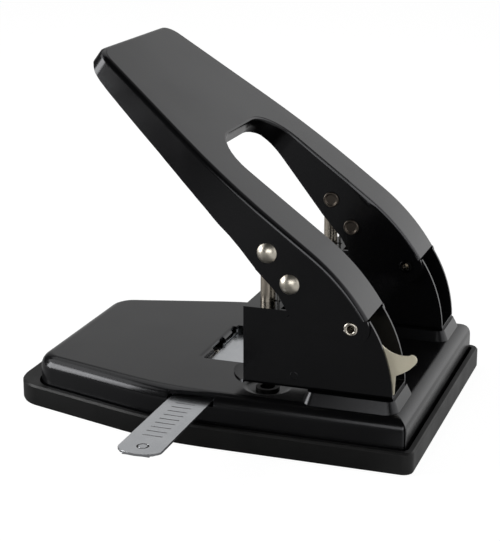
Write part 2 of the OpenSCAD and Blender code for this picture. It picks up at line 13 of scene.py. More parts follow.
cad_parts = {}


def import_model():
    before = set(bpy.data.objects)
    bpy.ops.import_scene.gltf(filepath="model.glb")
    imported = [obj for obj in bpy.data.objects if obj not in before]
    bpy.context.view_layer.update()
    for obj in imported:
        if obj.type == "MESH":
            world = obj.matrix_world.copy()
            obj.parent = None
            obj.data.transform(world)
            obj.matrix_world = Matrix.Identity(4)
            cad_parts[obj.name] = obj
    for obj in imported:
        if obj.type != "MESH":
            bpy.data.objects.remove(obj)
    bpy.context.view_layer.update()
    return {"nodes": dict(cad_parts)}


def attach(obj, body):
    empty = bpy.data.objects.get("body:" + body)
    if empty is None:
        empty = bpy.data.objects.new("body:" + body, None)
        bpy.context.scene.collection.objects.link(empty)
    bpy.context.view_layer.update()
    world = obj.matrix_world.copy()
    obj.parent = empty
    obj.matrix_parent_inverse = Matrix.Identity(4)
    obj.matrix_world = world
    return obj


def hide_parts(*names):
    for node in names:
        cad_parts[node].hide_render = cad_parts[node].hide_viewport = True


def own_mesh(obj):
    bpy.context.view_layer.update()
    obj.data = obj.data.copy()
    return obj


MM = 0.001
# Values between which most of a noise lies
NOISE_MIDDLE = (0.3, 0.7)
# Height of a wire's domed end, as a share of its radius
DOME = 0.5
# Faces of a solid within this angle of each other are one flat
FLAT_DEG = 0.2
# How strongly large faces decide the shading at an edge
FLAT_WEIGHT = 80
LOG = logging.getLogger("desk_punch")
Point = tuple[float, float, float]
Colour = tuple[float, float, float, float]


class Side(Enum):
    """The two sides of the punch, with the sign of Y and the word in node names."""

    RIGHT = (-1, "right")
    LEFT = (1, "left")

    @property
    def sign(self) -> int:
        """Sign of Y on this side."""
        return self.value[0]

    @property
    def word(self) -> str:
        """Word that the node names end with."""
        return self.value[1]


# ------------------------------------------------------------------ shader helpers


def linear(hex_colour: str) -> Colour:
    """Turns an sRGB hex colour to linear.

    Args:
        hex_colour: six hex digits with a leading hash.

    Returns:
        Linear red, green and blue, and an alpha of 1.
    """
    parts = [int(hex_colour[i : i + 2], 16) / 255 for i in (1, 3, 5)]
    r, g, b = (c / 12.92 if c <= 0.04045 else ((c + 0.055) / 1.055) ** 2.4 for c in parts)
    return (r, g, b, 1.0)


def per_mm(size_mm: float) -> float:
    """Texture scale, in cycles per metre, of a pattern with this period in millimetres."""
    return 1.0 / (size_mm * MM)


def add_node(
    tree: bpy.types.NodeTree,
    kind: str,
    settings: dict[str, object] | None = None,
    links: dict[str, object] | None = None,
) -> bpy.types.Node:
    """Adds a node with its settings and links.

    Args:
        tree: the node tree.
        kind: the node's bl_idname.
        settings: attribute names, or input names, with their values.
        links: input names or indices with the sockets that feed them.

    Returns:
        The new node.
    """
    made = tree.nodes.new(kind)
    for name, value in (settings or {}).items():
        if hasattr(made, name):
            setattr(made, name, value)
        else:
            made.inputs[name].default_value = value
    for name, socket in (links or {}).items():
        tree.links.new(made.inputs[name], socket)
    return made


def new_material(name: str) -> tuple[bpy.types.Material, bpy.types.NodeTree, bpy.types.Node]:
    """Makes an empty material with a Principled shader.

    Args:
        name: the material's name.

    Returns:
        The material, its node tree and the shader.
    """
    material = bpy.data.materials.new(name)
    material.use_nodes = True
    tree = material.node_tree
    tree.nodes.clear()
    shader = add_node(tree, "ShaderNodeBsdfPrincipled")
    add_node(tree, "ShaderNodeOutputMaterial", links={"Surface": shader.outputs["BSDF"]})
    return material, tree, shader


def noise(
    tree: bpy.types.NodeTree, size_mm: float, detail: float = 2.0, stretch: Point = (1, 1, 1)
) -> bpy.types.NodeSocket:
    """Noise in the object's own frame.

    Args:
        tree: the node tree.
        size_mm: size of one grain.
        detail: octaves of finer noise.
        stretch: factor on the frequency along X, Y and Z.

    Returns:
        The noise's value, about 0.5 on average.
    """
    place = add_node(tree, "ShaderNodeTexCoord")
    scaled = add_node(tree, "ShaderNodeMapping", links={"Vector": place.outputs["Object"]})
    scaled.inputs["Scale"].default_value = stretch
    made = add_node(
        tree,
        "ShaderNodeTexNoise",
        {"Scale": per_mm(size_mm), "Detail": detail},
        {"Vector": scaled.outputs["Vector"]},
    )
    return made.outputs["Fac"]


def spread(
    tree: bpy.types.NodeTree, value: bpy.types.NodeSocket, low: float, high: float
) -> bpy.types.NodeSocket:
    """Maps the middle of a noise to a range.

    Args:
        tree: the node tree.
        value: the noise's value.
        low: what the noise's darker part becomes.
        high: what its lighter part becomes.

    Returns:
        The mapped value.
    """
    noise_low, noise_high = NOISE_MIDDLE
    made = add_node(
        tree,
        "ShaderNodeMapRange",
        {"From Min": noise_low, "From Max": noise_high, "To Min": low, "To Max": high},
        {"Value": value},
    )
    return made.outputs["Result"]


def blend_colours(
    tree: bpy.types.NodeTree,
    factor: bpy.types.NodeSocket,
    first: str | bpy.types.NodeSocket,
    second: str,
) -> bpy.types.NodeSocket:
    """Mixes two colours.

    Args:
        tree: the node tree.
        factor: 0 gives the first colour, 1 the second.
        first: a hex colour, or a socket that gives one.
        second: a hex colour.

    Returns:
        The mixed colour.
    """
    made = add_node(tree, "ShaderNodeMix", {"data_type": "RGBA"}, {0: factor})
    first_input, second_input = (s for s in made.inputs if s.type == "RGBA")
    if isinstance(first, str):
        first_input.default_value = linear(first)
    else:
        tree.links.new(first_input, first)
    second_input.default_value = linear(second)
    return next(s for s in made.outputs if s.type == "RGBA")


def bump(
    tree: bpy.types.NodeTree,
    height: bpy.types.NodeSocket,
    depth_mm: float,
    strength: float,
    under: bpy.types.NodeSocket | None = None,
) -> bpy.types.NodeSocket:
    """Bump of a real depth.

    Args:
        tree: the node tree.
        height: height between 0 and 1.
        depth_mm: what a height of 1 stands for.
        strength: how much of the bump shows.
        under: normal of a coarser bump below this one.

    Returns:
        The bumped normal.
    """
    links = {"Height": height}
    if under is not None:
        links["Normal"] = under
    made = add_node(
        tree, "ShaderNodeBump", {"Strength": strength, "Distance": depth_mm * MM}, links
    )
    return made.outputs["Normal"]


# ------------------------------------------------------------------------ finishes


@dataclass(frozen=True)
class BakedEnamel:
    """Black stoving enamel sprayed on pressed steel.

    To the eye: a deep black film with a soft, faintly cool gloss, a little orange
    peel and a slightly duller skin where hands have rubbed it.
    """

    name: str = "black_stoving_enamel_sprayed"
    colour: str = "#070708"
    worn: str = "#0c0c0d"
    sheen: str = "#fafbff"
    roughness: tuple[float, float] = (0.16, 0.23)
    ior: float = 1.5
    smear_mm: float = 22.0
    peel_mm: float = 1.4
    peel_depth_mm: float = 0.02
    peel_strength: float = 0.18
    dust_mm: float = 0.35
    dust_depth_mm: float = 0.004
    dust_strength: float = 0.15

    def build(self) -> bpy.types.Material:
        """Builds the material.

        Returns:
            The material.
        """
        material, tree, shader = new_material(self.name)
        shader.inputs["IOR"].default_value = self.ior
        shader.inputs["Specular Tint"].default_value = linear(self.sheen)
        smears = noise(tree, self.smear_mm, detail=3.0)
        tree.links.new(
            shader.inputs["Base Color"], blend_colours(tree, smears, self.colour, self.worn)
        )
        tree.links.new(shader.inputs["Roughness"], spread(tree, smears, *self.roughness))
        waves = noise(tree, self.peel_mm, detail=1.0)
        peel = bump(tree, waves, self.peel_depth_mm, self.peel_strength)
        specks = noise(tree, self.dust_mm, detail=0.0)
        dust = bump(tree, specks, self.dust_depth_mm, self.dust_strength, peel)
        tree.links.new(shader.inputs["Normal"], dust)
        return material


@dataclass(frozen=True)
class MouldedRubber:
    """Black soft thermoplastic, moulded against a spark-eroded tool.

    To the eye: an even charcoal with a dry, fine grain and no mirror-like shine.
    """

    name: str = "black_thermoplastic_rubber_moulded"
    colour: str = "#060606"
    bloom: str = "#0c0c0c"
    roughness: tuple[float, float] = (0.42, 0.54)
    ior: float = 1.42
    bloom_mm: float = 14.0
    grain_mm: float = 0.5
    grain_depth_mm: float = 0.03
    grain_strength: float = 0.25

    def build(self) -> bpy.types.Material:
        """Builds the material.

        Returns:
            The material.
        """
        material, tree, shader = new_material(self.name)
        shader.inputs["IOR"].default_value = self.ior
        patches = noise(tree, self.bloom_mm, detail=3.0)
        tree.links.new(
            shader.inputs["Base Color"], blend_colours(tree, patches, self.colour, self.bloom)
        )
        tree.links.new(shader.inputs["Roughness"], spread(tree, patches, *self.roughness))
        grain = noise(tree, self.grain_mm, detail=2.0)
        tree.links.new(
            shader.inputs["Normal"],
            bump(tree, grain, self.grain_depth_mm, self.grain_strength),
        )
        return material


class Grain(Enum):
    """Direction of the fine lines that working leaves on a metal, as a stretch of the noise."""

    NONE = (1.0, 1.0, 1.0)
    ALONG_Y = (1.0, 0.03, 1.0)
    ROUND_Z = (0.02, 0.02, 1.0)


@dataclass(frozen=True)
class WorkedMetal:
    """Bare or plated metal whose working shows as fine lines or a soft bloom.

    A pin's inner end, nearer the middle plane than end_within_mm, is darkened to end_colour as
    painted shade.
    Real grinding and drawing lines are finer than here: they are drawn 0.2 mm or more
    apart, so that they show.
    """

    name: str
    colour: str
    shade: str
    roughness: tuple[float, float]
    grain: Grain = Grain.NONE
    grain_mm: float = 0.3
    depth_mm: float = 0.004
    strength: float = 0.3
    patch_mm: float = 6.0
    line_share: float = 0.5
    metallic: float = 1.0
    # Where and how dark a pin's inner end is painted as shade
    end_within_mm: float = 0.0
    end_colour: str = "#101010"

    def end_mask(self, tree: bpy.types.NodeTree) -> bpy.types.NodeSocket:
        """Tells a pin's inner end, which takes painted shade, from the rest.

        Args:
            tree: the node tree.

        Returns:
            1 nearer the middle plane than the limit, otherwise 0.
        """
        place = add_node(tree, "ShaderNodeTexCoord")
        split = add_node(tree, "ShaderNodeSeparateXYZ", {}, {0: place.outputs["Object"]})
        out = add_node(tree, "ShaderNodeMath", {"operation": "ABSOLUTE"}, {0: split.outputs["Y"]})
        near = add_node(tree, "ShaderNodeMath", {"operation": "LESS_THAN"}, {0: out.outputs[0]})
        near.inputs[1].default_value = self.end_within_mm * MM
        return near.outputs[0]

    def build(self) -> bpy.types.Material:
        """Builds the material.

        Returns:
            The material.
        """
        material, tree, shader = new_material(self.name)
        shader.inputs["Metallic"].default_value = self.metallic
        patches = noise(tree, self.patch_mm, detail=3.0)
        plated = blend_colours(tree, patches, self.colour, self.shade)
        # Painted shade: a pin's inner end, between the arms, is darkened
        if self.end_within_mm > 0:
            plated = blend_colours(tree, self.end_mask(tree), plated, self.end_colour)
        tree.links.new(shader.inputs["Base Color"], plated)
        lines = noise(tree, self.grain_mm, stretch=self.grain.value)
        mixed = add_node(
            tree, "ShaderNodeMath", {"operation": "MULTIPLY_ADD"}, {0: lines, 2: patches}
        )
        mixed.inputs[1].default_value = self.line_share
        tree.links.new(
            shader.inputs["Roughness"], spread(tree, mixed.outputs[0], *self.roughness)
        )
        tree.links.new(
            shader.inputs["Normal"], bump(tree, lines, self.depth_mm, self.strength)
        )
        return material


# Bright nickel plate: warm and mirror-like, with soft handling marks
NICKEL_PLATE = WorkedMetal(
    "bright_nickel_plate_turned",
    colour="#d9d3c8",
    shade="#bdb6aa",
    roughness=(0.10, 0.20),
    grain_mm=0.6,
    depth_mm=0.002,
)
# The same plate on a hollow rivet, a little duller, with its inner end between the arms darkened
# to near black as painted shade
NICKEL_WITH_SHADED_END = WorkedMetal(
    "nickel_plate_shade_darkened_end",
    colour="#d9d3c8",
    shade="#bdb6aa",
    roughness=(0.14, 0.26),
    grain_mm=0.6,
    depth_mm=0.002,
    end_within_mm=32.5,
)
# Satin nickel plate on a cross pin: a soft warm sheen, with its inner end between the arms
# darkened as painted shade
SATIN_NICKEL_WITH_SHADED_END = WorkedMetal(
    "nickel_plate_peened_end",
    colour="#e3ddd0",
    shade="#cbc4b6",
    roughness=(0.25, 0.34),
    grain_mm=0.6,
    depth_mm=0.002,
    end_within_mm=29.0,
    end_colour="#645d56",
)
# Hardened steel, centreless ground: warm grey with rings round the punch
GROUND_STEEL = WorkedMetal(
    "hardened_steel_ground",
    colour="#cfc6b8",
    shade="#a89f92",
    roughness=(0.16, 0.30),
    grain=Grain.ROUND_Z,
    grain_mm=0.25,
    depth_mm=0.003,
)
# Nickelled strip, stamped, tumbled and lacquered: cream, softly dull all over. The clear
# lacquer is most of what the eye sees, so it is only a little metallic
TUMBLED_NICKEL = WorkedMetal(
    "nickelled_strip_lacquered",
    colour="#f2ebd4",
    shade="#e6dec5",
    roughness=(0.36, 0.48),
    grain_mm=0.5,
    depth_mm=0.006,
    metallic=0.2,
)
# Steel blacked in hot oil: near black with a low oily shine
BLACKED_STEEL = WorkedMetal(
    "steel_blacked_in_oil",
    colour="#1c1b1a",
    shade="#121212",
    roughness=(0.30, 0.42),
    grain=Grain.ROUND_Z,
    grain_mm=0.3,
    depth_mm=0.003,
)
# Stainless strip with a linished face: cool grey with fine lines along its length
LINISHED_STRIP = WorkedMetal(
    "stainless_strip_linished",
    colour="#f0f2f5",
    shade="#e2e5e9",
    roughness=(0.15, 0.24),
    grain=Grain.ALONG_Y,
    grain_mm=0.2,
)
# Oil-tempered spring wire: grey with a dull drawn skin
SPRING_WIRE = WorkedMetal(
    "spring_wire_drawn",
    colour="#a9a9a6",
    shade="#858582",
    roughness=(0.22, 0.36),
    grain_mm=0.4,
)
# Zinc-plated sheet: pale blue-grey, slightly cloudy
ZINC_SHEET = WorkedMetal(
    "zinc_plated_sheet_stamped",
    colour="#c3c7ca",
    shade="#a9adb0",
    roughness=(0.32, 0.48),
    grain_mm=0.8,
)


@dataclass(frozen=True)
class StampedInk:
    """Black ink wiped into the ruler's pressed marks: flat, nearly matt lines."""

    name: str = "marking_ink_wiped"
    colour: str = "#141414"
    thin: str = "#2b2b2b"
    ior: float = 1.45
    roughness: float = 0.6
    patch_mm: float = 0.6

    def build(self) -> bpy.types.Material:
        """Builds the material.

        Returns:
            The material.
        """
        material, tree, shader = new_material(self.name)
        shader.inputs["IOR"].default_value = self.ior
        shader.inputs["Roughness"].default_value = self.roughness
        patches = noise(tree, self.patch_mm, detail=2.0)
        tree.links.new(
            shader.inputs["Base Color"], blend_colours(tree, patches, self.colour, self.thin)
        )
        return material


# --------------------------------------------------------------------- mesh helpers


def mesh_object(name: str, fill: Callable[[bmesh.types.BMesh], None]) -> bpy.types.Object:
    """Makes a mesh object.

    Args:
        name: the piece's name.
        fill: draws into an empty bmesh, in metres.

    Returns:
        The object, linked to the scene.
    """
    bm = bmesh.new()
    fill(bm)
    bmesh.ops.recalc_face_normals(bm, faces=bm.faces)
    data = bpy.data.meshes.new(name)
    bm.to_mesh(data)
    bm.free()
    for polygon in data.polygons:
        polygon.use_smooth = True
    made = bpy.data.objects.new(name, data)
    bpy.context.scene.collection.objects.link(made)
    return made


def sweep(bm: bmesh.types.BMesh, path: Sequence[Vector], radius: float, sides: int = 12) -> None:
    """Sweeps a round wire along a path, with ends drawn in to a dome.

    Args:
        bm: the mesh to draw into.
        path: the wire's centreline.
        radius: the wire's radius.
        sides: points round the wire.
    """
    rings = []
    upright = abs((path[1] - path[0]).normalized().z) > 0.9
    up = Vector((1, 0, 0)) if upright else Vector((0, 0, 1))
    last = len(path) - 1
    for i, centre in enumerate(path):
        along = (path[min(i + 1, last)] - path[max(i - 1, 0)]).normalized()
        across = along.cross(up).normalized()
        up = across.cross(along).normalized()
        rings.append(
            [
                bm.verts.new(centre + radius * (math.cos(a) * across + math.sin(a) * up))
                for a in (2 * math.pi * k / sides for k in range(sides))
            ]
        )
    for first, second in zip(rings, rings[1:]):
        for k in range(sides):
            n = (k + 1) % sides
            bm.faces.new((first[k], first[n], second[n], second[k]))
    for ring, step in ((rings[0], path[0] - path[1]), (rings[-1], path[-1] - path[-2])):
        tip = bm.verts.new(
            sum((v.co for v in ring), Vector()) / sides + step.normalized() * radius * DOME
        )
        for k in range(sides):
            bm.faces.new((ring[k], ring[(k + 1) % sides], tip))


def bevel_box(bm: bmesh.types.BMesh, low: Point, high: Point, bevel: float) -> None:
    """Draws a box with softened edges.

    Args:
        bm: the mesh to draw into.
        low: the lowest corner, in millimetres.
        high: the highest corner, in millimetres.
        bevel: width of the softened edge, in millimetres.
    """
    centre = (Vector(low) + Vector(high)) / 2 * MM
    size = (Vector(high) - Vector(low)) * MM
    made = bmesh.ops.create_cube(bm, size=1.0)
    for vertex in made["verts"]:
        vertex.co = Vector(c * s for c, s in zip(vertex.co, size)) + centre
    edges = list(dict.fromkeys(e for v in made["verts"] for e in v.link_edges))
    bmesh.ops.bevel(bm, geom=edges, offset=bevel * MM, segments=2, affect="EDGES")


def smooth_group(angle_deg: float, weld_mm: float) -> bpy.types.NodeTree:
    """Geometry nodes that weld a tessellated solid and shade it smooth up to an angle.

    Args:
        angle_deg: edges sharper than this stay sharp.
        weld_mm: points closer than this become one.

    Returns:
        The node group.
    """
    name = f"smooth_up_to_{angle_deg:.0f}_weld_{weld_mm * 1000:.0f}"
    if name in bpy.data.node_groups:
        return bpy.data.node_groups[name]
    tree = bpy.data.node_groups.new(name, "GeometryNodeTree")
    tree.interface.new_socket("Geometry", in_out="INPUT", socket_type="NodeSocketGeometry")
    tree.interface.new_socket("Geometry", in_out="OUTPUT", socket_type="NodeSocketGeometry")
    source = add_node(tree, "NodeGroupInput")
    welded = add_node(
        tree, "GeometryNodeMergeByDistance", {}, {"Geometry": source.outputs["Geometry"]}
    )
    welded.inputs["Distance"].default_value = weld_mm * MM
    bare = add_node(
        tree,
        "GeometryNodeRemoveAttribute",
        {"Name": "custom_normal"},
        {"Geometry": welded.outputs["Geometry"]},
    )
    faces = add_node(
        tree,
        "GeometryNodeSetShadeSmooth",
        {"domain": "FACE"},
        {"Geometry": bare.outputs["Geometry"]},
    )
    faces.inputs["Shade Smooth"].default_value = True
    angle = add_node(tree, "GeometryNodeInputMeshEdgeAngle")
    soft = add_node(
        tree,
        "ShaderNodeMath",
        {"operation": "LESS_THAN"},
        {0: angle.outputs["Unsigned Angle"]},
    )
    soft.inputs[1].default_value = math.radians(angle_deg)
    edges = add_node(
        tree,
        "GeometryNodeSetShadeSmooth",
        {"domain": "EDGE"},
        {"Geometry": faces.outputs["Geometry"], "Shade Smooth": soft.outputs[0]},
    )
    add_node(tree, "NodeGroupOutput", {}, {"Geometry": edges.outputs["Geometry"]})
    return tree


@dataclass(frozen=True)
class EdgeFinish:
    """How a carried-over solid's edges are softened, in millimetres and degrees."""

    bevel_mm: float = 0.15
    segments: int = 2
    sharp_deg: float = 32.0
    weld_mm: float = 0.002
    flat_faces: bool = True


def dress(
    node: bpy.types.Object, material: bpy.types.Material, edges: EdgeFinish = EdgeFinish()
) -> None:
    """Gives a carried-over solid its material, broken edges and smooth shading.

    Args:
        node: the solid's object.
        material: its finish.
        edges: how its edges are softened.
    """
    node.data.materials.clear()
    node.data.materials.append(material)
    smooth = node.modifiers.new("smooth", "NODES")
    smooth.node_group = smooth_group(edges.sharp_deg, edges.weld_mm)
    if edges.bevel_mm > 0:
        flats = node.modifiers.new("merge_flats", "DECIMATE")
        flats.decimate_type = "DISSOLVE"
        flats.angle_limit = math.radians(FLAT_DEG)
        soft = node.modifiers.new("broken_edges", "BEVEL")
        soft.width = edges.bevel_mm * MM
        soft.segments = edges.segments
        soft.limit_method = "ANGLE"
        soft.angle_limit = math.radians(edges.sharp_deg)
        soft.use_clamp_overlap = True
        soft.harden_normals = False
    if edges.flat_faces:
        even = node.modifiers.new("even_normals", "WEIGHTED_NORMAL")
        even.keep_sharp = True
        even.weight = FLAT_WEIGHT
    LOG.info("dressed %s with %s", node.name, material.name)


# -------------------------------------------------------------------------- studio


@dataclass(frozen=True)
class Softbox:
    """A rectangular lamp aimed at the object: place and size in metres.

    A radiance of 1 makes its face look white.
    """

    name: str
    at: Point
    size: tuple[float, float]
    radiance: float

    def build(self, aim_at: Point) -> None:
        """Adds the lamp.

        Args:
            aim_at: the point that it faces, in metres.
        """
        data = bpy.data.lights.new(self.name, "AREA")
        data.shape = "RECTANGLE"
        data.size, data.size_y = self.size
        data.energy = self.radiance * math.pi * self.size[0] * self.size[1]
        lamp = bpy.data.objects.new(self.name, data)
        bpy.context.scene.collection.objects.link(lamp)
        lamp.visible_camera = False
        aim = Vector(aim_at) - Vector(self.at)
        turn = aim.to_track_quat("-Z", "Y").to_matrix().to_4x4()
        lamp.matrix_world = Matrix.Translation(self.at) @ turn


@dataclass(frozen=True)
class MirrorRamp:
    """A rise of the floor's brightness between two places on an axis, in metres.

    Only mirror-like rays see it.
    """

    axis: str
    start: float
    end: float
    level: float


LAMPS = (
    # Bright lamp at the left: the highlight along the base's front roll
    Softbox("lamp_left", at=(-0.585, -0.235, 0.215), size=(0.24, 0.33), radiance=6.2),
    # Strip beside it: the sheen on the skirt of the grip
    Softbox("lamp_left_edge", at=(-0.515, -0.360, 0.225), size=(0.07, 0.26), radiance=5.0),
    # Dim panel above it: a soft fall from the roll to the base's top
    Softbox("lamp_left_high", at=(-0.68, -0.09, 0.56), size=(0.46, 0.40), radiance=1.3),
    # Broad panel overhead and behind: the floor's shadow and the metal's tops
    Softbox("lamp_above", at=(-0.45, 0.55, 1.15), size=(1.1, 0.9), radiance=0.7),
    # Panel at the front: the pins, the ruler and the lock lever
    Softbox("lamp_front", at=(0.25, -1.30, 0.42), size=(1.1, 0.5), radiance=2.7),
)


@dataclass
class Studio:
    """Pale floor, soft lamps, surroundings and camera.

    The world's three shares are of a ray's direction: across from left to right,
    behind from front to rear, and overhead from low to high.
    """

    camera_at_mm: Point = (168.3, -543.7, 225.5)
    azimuth_deg: float = 19.18
    elevation_deg: float = 16.95
    roll_deg: float = 0.03
    lens_mm: float = 103.1
    sensor_mm: float = 36.0
    clip_m: tuple[float, float] = (0.01, 50.0)
    lamp_aim: Point = (-0.01, 0.0, 0.06)
    floor_half_m: float = 6.0
    floor_albedo: float = 0.22
    floor_glow: float = 0.93
    mirror_glow: float = 0.03
    mirror_ramps: tuple[MirrorRamp, ...] = (
        MirrorRamp("X", start=0.04, end=0.065, level=0.43),
        MirrorRamp("X", start=-0.05, end=-0.11, level=0.11),
        MirrorRamp("Y", start=0.10, end=0.30, level=0.40),
    )
    across_x: tuple[float, float] = (-0.4, 0.4)
    across_power: float = 1.8
    world_left: float = 0.42
    world_gain: float = 0.7
    behind_x_share: float = 0.8
    behind_y: tuple[float, float] = (-0.1, 0.5)
    world_front: float = 0.12
    overhead_z: tuple[float, float] = (0.42, 0.68)
    world_overhead: float = 0.2

    def build_camera(self) -> None:
        """Places the camera at the object's usual viewing angle."""
        data = bpy.data.cameras.new("camera")
        data.lens = self.lens_mm
        data.sensor_width = self.sensor_mm
        data.clip_start, data.clip_end = self.clip_m
        camera = bpy.data.objects.new("camera", data)
        bpy.context.scene.collection.objects.link(camera)
        a, e = math.radians(self.azimuth_deg), math.radians(self.elevation_deg)
        back = Vector((math.sin(a) * math.cos(e), -math.cos(a) * math.cos(e), math.sin(e)))
        turn = back.to_track_quat("Z", "Y").to_matrix().to_4x4()
        turn = turn @ Matrix.Rotation(math.radians(self.roll_deg), 4, "Z")
        camera.matrix_world = Matrix.Translation(Vector(self.camera_at_mm) * MM) @ turn
        bpy.context.scene.camera = camera

    def build_floor(self) -> None:
        """Lays a pale floor that keeps the object's shadow and shows white behind it."""
        h = self.floor_half_m

        def fill(bm: bmesh.types.BMesh) -> None:
            """Draws the floor's one face."""
            corners = [(-h, -h, 0), (h, -h, 0), (h, h, 0), (-h, h, 0)]
            bm.faces.new([bm.verts.new(c) for c in corners])

        floor = mesh_object("floor", fill)
        material = bpy.data.materials.new("pale_paper_sweep")
        material.use_nodes = True
        tree = material.node_tree
        tree.nodes.clear()
        grey = self.floor_albedo
        paper = add_node(tree, "ShaderNodeBsdfDiffuse", {"Color": (grey, grey, grey, 1)})
        glow = add_node(tree, "ShaderNodeEmission", {"Color": (1, 1, 1, 1)})
        rays = add_node(tree, "ShaderNodeLightPath")
        place = add_node(tree, "ShaderNodeTexCoord")
        split = add_node(tree, "ShaderNodeSeparateXYZ", {}, {0: place.outputs["Object"]})
        seen = rays.outputs["Is Glossy Ray"]
        total = add_node(tree, "ShaderNodeMath", {"operation": "MULTIPLY"}, {0: seen}).outputs[0]
        total.node.inputs[1].default_value = self.mirror_glow
        for ramp in self.mirror_ramps:
            rise = add_node(
                tree,
                "ShaderNodeMapRange",
                {"From Min": ramp.start, "From Max": ramp.end, "To Max": ramp.level},
                {"Value": split.outputs[ramp.axis]},
            )
            total = add_node(
                tree,
                "ShaderNodeMath",
                {"operation": "MULTIPLY_ADD"},
                {0: rise.outputs[0], 1: seen, 2: total},
            ).outputs[0]
        level = add_node(
            tree,
            "ShaderNodeMath",
            {"operation": "MULTIPLY_ADD"},
            {0: rays.outputs["Is Camera Ray"], 2: total},
        )
        level.inputs[1].default_value = self.floor_glow
        tree.links.new(glow.inputs["Strength"], level.outputs[0])
        both = add_node(tree, "ShaderNodeAddShader", {}, {0: paper.outputs[0], 1: glow.outputs[0]})
        add_node(tree, "ShaderNodeOutputMaterial", {}, {"Surface": both.outputs[0]})
        floor.data.materials.append(material)

    def build_world(self) -> None:
        """Surrounds the object with a studio that is bright behind and dim in front."""
        world = bpy.data.worlds.new("studio")
        bpy.context.scene.world = world
        world.use_nodes = True
        tree = world.node_tree
        tree.nodes.clear()
        place = add_node(tree, "ShaderNodeTexCoord")
        split = add_node(tree, "ShaderNodeSeparateXYZ", {}, {0: place.outputs["Generated"]})
        across = add_node(
            tree,
            "ShaderNodeMapRange",
            {"From Min": self.across_x[0], "From Max": self.across_x[1]},
            {"Value": split.outputs["X"]},
        )
        curved = add_node(tree, "ShaderNodeMath", {"operation": "POWER"}, {0: across.outputs[0]})
        curved.inputs[1].default_value = self.across_power
        rising = add_node(
            tree, "ShaderNodeMath", {"operation": "MULTIPLY_ADD"}, {0: curved.outputs[0]}
        )
        rising.inputs[1].default_value = self.world_gain
        rising.inputs[2].default_value = self.world_left
        rearward = add_node(
            tree,
            "ShaderNodeMath",
            {"operation": "MULTIPLY_ADD"},
            {0: split.outputs["X"], 2: split.outputs["Y"]},
        )
        rearward.inputs[1].default_value = self.behind_x_share
        front, rear = self.behind_y
        behind = add_node(
            tree,
            "ShaderNodeMapRange",
            {"From Min": front, "From Max": rear, "To Min": self.world_front, "To Max": 1.0},
            {"Value": rearward.outputs[0]},
        )
        low, high = self.overhead_z
        overhead = add_node(
            tree,
            "ShaderNodeMapRange",
            {"From Min": low, "From Max": high, "To Min": 1.0, "To Max": self.world_overhead},
            {"Value": split.outputs["Z"]},
        )
        shaded = add_node(
            tree,
            "ShaderNodeMath",
            {"operation": "MULTIPLY"},
            {0: overhead.outputs[0], 1: behind.outputs[0]},
        )
        level = add_node(
            tree,
            "ShaderNodeMath",
            {"operation": "MULTIPLY"},
            {0: rising.outputs[0], 1: shaded.outputs[0]},
        )
        light = add_node(
            tree, "ShaderNodeBackground", {"Color": (1, 1, 1, 1)}, {"Strength": level.outputs[0]}
        )
        white = add_node(tree, "ShaderNodeBackground", {"Color": (1, 1, 1, 1), "Strength": 1.0})
        rays = add_node(tree, "ShaderNodeLightPath")
        mix = add_node(
            tree,
            "ShaderNodeMixShader",
            {},
            {0: rays.outputs["Is Camera Ray"], 1: light.outputs[0], 2: white.outputs[0]},
        )
        add_node(tree, "ShaderNodeOutputWorld", {}, {"Surface": mix.outputs[0]})

    def build(self) -> None:
        """Builds the whole studio."""
        self.build_camera()
        self.build_floor()
        self.build_world()
        for lamp in LAMPS:
            lamp.build(self.lamp_aim)


# ------------------------------------------------------------------- sub-assemblies


@dataclass
class Finishes:
    """Every material of the punch, built once."""

    enamel: bpy.types.Material = field(default_factory=lambda: BakedEnamel().build())
    rubber: bpy.types.Material = field(default_factory=lambda: MouldedRubber().build())
    nickel: bpy.types.Material = field(default_factory=NICKEL_PLATE.build)
    ground: bpy.types.Material = field(default_factory=GROUND_STEEL.build)
    tumbled: bpy.types.Material = field(default_factory=TUMBLED_NICKEL.build)
    linished: bpy.types.Material = field(default_factory=LINISHED_STRIP.build)
    wire: bpy.types.Material = field(default_factory=SPRING_WIRE.build)
    zinc: bpy.types.Material = field(default_factory=ZINC_SHEET.build)
    blacked: bpy.types.Material = field(default_factory=BLACKED_STEEL.build)
    # nickel whose inner end is darkened to near black as painted shade
    shade_darkened_end: bpy.types.Material = field(default_factory=NICKEL_WITH_SHADED_END.build)
    # satin nickel whose inner end is darkened as painted shade
    peened_end: bpy.types.Material = field(default_factory=SATIN_NICKEL_WITH_SHADED_END.build)
    ink: bpy.types.Material = field(default_factory=lambda: StampedInk().build())


@dataclass
class SubAssembly:
    """A group of pieces that share a place in the punch."""

    nodes: dict[str, bpy.types.Object]
    finishes: Finishes


@dataclass
class Base(SubAssembly):
    """Pressed base with its dies and bracket rivets, and the moulded tray under it."""

    fold: EdgeFinish = EdgeFinish(bevel_mm=0.4, segments=3, sharp_deg=30.0)
    moulded: EdgeFinish = EdgeFinish(bevel_mm=0.35, segments=3, sharp_deg=30.0)
    turned: EdgeFinish = EdgeFinish(bevel_mm=0.12, segments=2, sharp_deg=30.0)

    def build(self) -> None:
        """Dresses the base, the tray, the dies and the rivets."""
        dress(self.nodes["base_body"], self.finishes.enamel, self.fold)
        dress(self.nodes["base_cover"], self.finishes.rubber, self.moulded)
        for side in Side:
            dress(self.nodes[f"die_{side.word}"], self.finishes.blacked, self.turned)
        dress(self.nodes["bracket_rivets"], self.finishes.enamel, self.turned)


